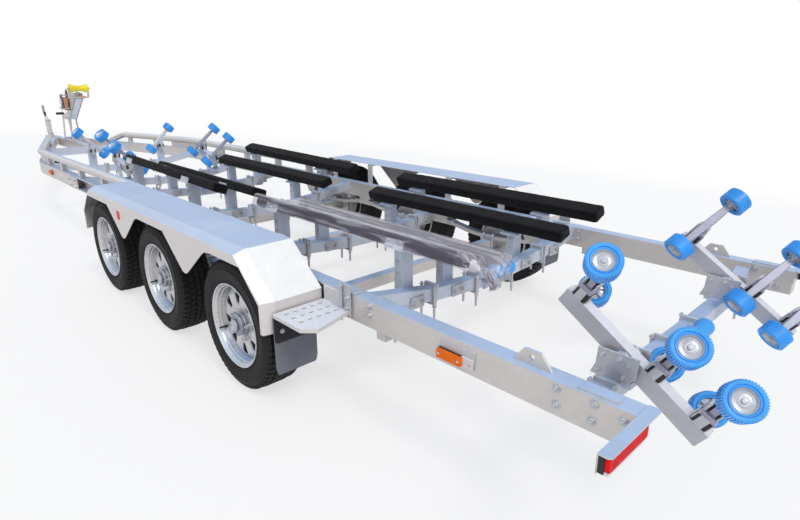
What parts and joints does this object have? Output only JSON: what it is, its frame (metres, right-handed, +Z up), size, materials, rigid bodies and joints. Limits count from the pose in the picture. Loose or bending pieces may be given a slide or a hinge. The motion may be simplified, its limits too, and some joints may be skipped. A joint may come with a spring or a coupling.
{
  "type": "boat trailer",
  "caption": "Galvanised triple-axle boat trailer with roller cradles, carpeted bunks, flat-topped fenders, winch post and jockey wheel.",
  "frame": {"origin": "centre of the bounding box on the ground", "axes": "+X forward to the coupling, +Y to the trailer's left, +Z up"},
  "size_m": [9.9924, 2.268, 1.303],
  "materials": {
    "galvanised_steel": "spangled matt zinc",
    "wheel_steel": "galvanised",
    "tyre_rubber": "matt",
    "flap_rubber": "matt",
    "roller_blue": "satin",
    "roller_yellow": "satin",
    "bunk_carpet": "matt",
    "lamp_red": "gloss",
    "lamp_orange": "gloss",
    "winch_black": "satin",
    "handle_black": "satin"
  },
  "bodies": {
    "chassis": {"coupling": "galvanised_steel", "handbrake": "handle_black", "drawbar": "galvanised_steel", "front_rails": "galvanised_steel", "mid_rails": "galvanised_steel", "rear_rails": "galvanised_steel", "side_bars": "galvanised_steel", "cross_members": "galvanised_steel", "axles": "galvanised_steel", "leaf_springs": "galvanised_steel", "fender_left": "galvanised_steel", "fender_right": "galvanised_steel", "steps": "galvanised_steel", "mud_flaps": "flap_rubber", "lamp_housings": "galvanised_steel", "tail_lamps": "lamp_red", "side_lamps": "lamp_orange", "bunks_front": "bunk_carpet", "bunks_rear": "bunk_carpet", "bunk_brackets": "galvanised_steel", "roller_mounts": "galvanised_steel", "winch_post": "galvanised_steel", "winch": "winch_black", "jockey_tube": "galvanised_steel"},
    "wheel_rear_left": {"tyre_rear_left": "tyre_rubber", "rim_rear_left": "wheel_steel"},
    "wheel_rear_right": {"tyre_rear_right": "tyre_rubber", "rim_rear_right": "wheel_steel"},
    "wheel_mid_left": {"tyre_mid_left": "tyre_rubber", "rim_mid_left": "wheel_steel"},
    "wheel_mid_right": {"tyre_mid_right": "tyre_rubber", "rim_mid_right": "wheel_steel"},
    "wheel_front_left": {"tyre_front_left": "tyre_rubber", "rim_front_left": "wheel_steel"},
    "wheel_front_right": {"tyre_front_right": "tyre_rubber", "rim_front_right": "wheel_steel"},
    "rear_cradle_left": {"rear_rocker_left": "galvanised_steel"},
    "rear_rollers_1_left": {"rear_rollers_1_left": "roller_blue"},
    "rear_rollers_2_left": {"rear_rollers_2_left": "roller_blue"},
    "rear_rollers_3_left": {"rear_rollers_3_left": "roller_blue"},
    "front_cradle_left": {"front_rocker_left": "galvanised_steel"},
    "front_rollers_1_left": {"front_rollers_1_left": "roller_blue"},
    "front_rollers_2_left": {"front_rollers_2_left": "roller_blue"},
    "nose_rollers_left": {"nose_rollers_left": "roller_blue"},
    "rear_cradle_right": {"rear_rocker_right": "galvanised_steel"},
    "rear_rollers_1_right": {"rear_rollers_1_right": "roller_blue"},
    "rear_rollers_2_right": {"rear_rollers_2_right": "roller_blue"},
    "rear_rollers_3_right": {"rear_rollers_3_right": "roller_blue"},
    "front_cradle_right": {"front_rocker_right": "galvanised_steel"},
    "front_rollers_1_right": {"front_rollers_1_right": "roller_blue"},
    "front_rollers_2_right": {"front_rollers_2_right": "roller_blue"},
    "nose_rollers_right": {"nose_rollers_right": "roller_blue"},
    "keel_roller_1": {"keel_roller_1": "roller_blue"},
    "keel_roller_2": {"keel_roller_2": "roller_blue"},
    "keel_roller_3": {"keel_roller_3": "roller_blue"},
    "bow_roller": {"bow_roller": "roller_yellow"},
    "jockey_leg": {"jockey_leg": "galvanised_steel"},
    "jockey_fork": {"jockey_fork": "galvanised_steel"},
    "jockey_wheel": {"jockey_wheel": "tyre_rubber"}
  },
  "joints": [
    {"name": "wheel_rear_left_spin", "type": "hinge", "parent": "chassis", "child": "wheel_rear_left", "pos_m": [-3.04, 1.0125, 0.31], "axis": [0, 1, 0], "continuous": true},
    {"name": "wheel_rear_right_spin", "type": "hinge", "parent": "chassis", "child": "wheel_rear_right", "pos_m": [-3.04, -1.0125, 0.31], "axis": [0, 1, 0], "continuous": true},
    {"name": "wheel_mid_left_spin", "type": "hinge", "parent": "chassis", "child": "wheel_mid_left", "pos_m": [-2.18, 1.0125, 0.31], "axis": [0, 1, 0], "continuous": true},
    {"name": "wheel_mid_right_spin", "type": "hinge", "parent": "chassis", "child": "wheel_mid_right", "pos_m": [-2.18, -1.0125, 0.31], "axis": [0, 1, 0], "continuous": true},
    {"name": "wheel_front_left_spin", "type": "hinge", "parent": "chassis", "child": "wheel_front_left", "pos_m": [-1.32, 1.0125, 0.31], "axis": [0, 1, 0], "continuous": true},
    {"name": "wheel_front_right_spin", "type": "hinge", "parent": "chassis", "child": "wheel_front_right", "pos_m": [-1.32, -1.0125, 0.31], "axis": [0, 1, 0], "continuous": true},
    {"name": "rear_cradle_left_rock", "type": "hinge", "parent": "chassis", "child": "rear_cradle_left", "pos_m": [-4.573, 0.5, 0.52338], "axis": [0, 1, 0], "range_deg": [0, 44]},
    {"name": "rear_rollers_1_left_spin", "type": "hinge", "parent": "rear_cradle_left", "child": "rear_rollers_1_left", "pos_m": [-4.44642, 0.5, 0.75953], "axis": [-0.3954, 0.7071, 0.5862], "continuous": true},
    {"name": "rear_rollers_2_left_spin", "type": "hinge", "parent": "rear_cradle_left", "child": "rear_rollers_2_left", "pos_m": [-4.72, 0.5, 0.575], "axis": [-0.3954, 0.7071, 0.5862], "continuous": true},
    {"name": "rear_rollers_3_left_spin", "type": "hinge", "parent": "rear_cradle_left", "child": "rear_rollers_3_left", "pos_m": [-4.86923, 0.5, 0.47435], "axis": [-0.3954, 0.7071, 0.5862], "continuous": true},
    {"name": "front_cradle_left_rock", "type": "hinge", "parent": "chassis", "child": "front_cradle_left", "pos_m": [0.30188, 0.43, 0.60962], "axis": [0, 1, 0], "range_deg": [0, 28]},
    {"name": "front_rollers_1_left_spin", "type": "hinge", "parent": "front_cradle_left", "child": "front_rollers_1_left", "pos_m": [0.4104, 0.43, 0.7655], "axis": [-0.1711, 0.7071, 0.6861], "continuous": true},
    {"name": "front_rollers_2_left_spin", "type": "hinge", "parent": "front_cradle_left", "child": "front_rollers_2_left", "pos_m": [0.1096, 0.43, 0.6905], "axis": [-0.1711, 0.7071, 0.6861], "continuous": true},
    {"name": "nose_rollers_left_spin", "type": "hinge", "parent": "chassis", "child": "nose_rollers_left", "pos_m": [1.41, 0.365, 0.712], "axis": [0, 0.7071, 0.7071], "continuous": true},
    {"name": "rear_cradle_right_rock", "type": "hinge", "parent": "chassis", "child": "rear_cradle_right", "pos_m": [-4.573, -0.5, 0.52338], "axis": [0, 1, 0], "range_deg": [0, 44]},
    {"name": "rear_rollers_1_right_spin", "type": "hinge", "parent": "rear_cradle_right", "child": "rear_rollers_1_right", "pos_m": [-4.44642, -0.5, 0.75953], "axis": [-0.3954, -0.7071, 0.5862], "continuous": true},
    {"name": "rear_rollers_2_right_spin", "type": "hinge", "parent": "rear_cradle_right", "child": "rear_rollers_2_right", "pos_m": [-4.72, -0.5, 0.575], "axis": [-0.3954, -0.7071, 0.5862], "continuous": true},
    {"name": "rear_rollers_3_right_spin", "type": "hinge", "parent": "rear_cradle_right", "child": "rear_rollers_3_right", "pos_m": [-4.86923, -0.5, 0.47435], "axis": [-0.3954, -0.7071, 0.5862], "continuous": true},
    {"name": "front_cradle_right_rock", "type": "hinge", "parent": "chassis", "child": "front_cradle_right", "pos_m": [0.30188, -0.43, 0.60962], "axis": [0, 1, 0], "range_deg": [0, 28]},
    {"name": "front_rollers_1_right_spin", "type": "hinge", "parent": "front_cradle_right", "child": "front_rollers_1_right", "pos_m": [0.4104, -0.43, 0.7655], "axis": [-0.1711, -0.7071, 0.6861], "continuous": true},
    {"name": "front_rollers_2_right_spin", "type": "hinge", "parent": "front_cradle_right", "child": "front_rollers_2_right", "pos_m": [0.1096, -0.43, 0.6905], "axis": [-0.1711, -0.7071, 0.6861], "continuous": true},
    {"name": "nose_rollers_right_spin", "type": "hinge", "parent": "chassis", "child": "nose_rollers_right", "pos_m": [1.41, -0.365, 0.712], "axis": [0, -0.7071, 0.7071], "continuous": true},
    {"name": "keel_roller_1_spin", "type": "hinge", "parent": "chassis", "child": "keel_roller_1", "pos_m": [-4.63, 0, 0.462], "axis": [0, 1, 0], "continuous": true},
    {"name": "keel_roller_2_spin", "type": "hinge", "parent": "chassis", "child": "keel_roller_2", "pos_m": [-3.71, 0, 0.486], "axis": [0, 1, 0], "continuous": true},
    {"name": "keel_roller_3_spin", "type": "hinge", "parent": "chassis", "child": "keel_roller_3", "pos_m": [-0.565, 0, 0.486], "axis": [0, 1, 0], "continuous": true},
    {"name": "bow_roller_spin", "type": "hinge", "parent": "chassis", "child": "bow_roller", "pos_m": [2.918, 0, 1.25], "axis": [0, 1, 0], "continuous": true},
    {"name": "jockey_leg_lift", "type": "slide", "parent": "chassis", "child": "jockey_leg", "axis": [0, 0, 1], "range_m": [0, 0.18]},
    {"name": "jockey_swivel", "type": "hinge", "parent": "jockey_leg", "child": "jockey_fork", "pos_m": [4.4, 0.086, 0.218], "axis": [0, 0, 1], "continuous": true},
    {"name": "jockey_wheel_spin", "type": "hinge", "parent": "jockey_fork", "child": "jockey_wheel", "pos_m": [4.358, 0.086, 0.1], "axis": [0, 1, 0], "continuous": true}
  ]
}
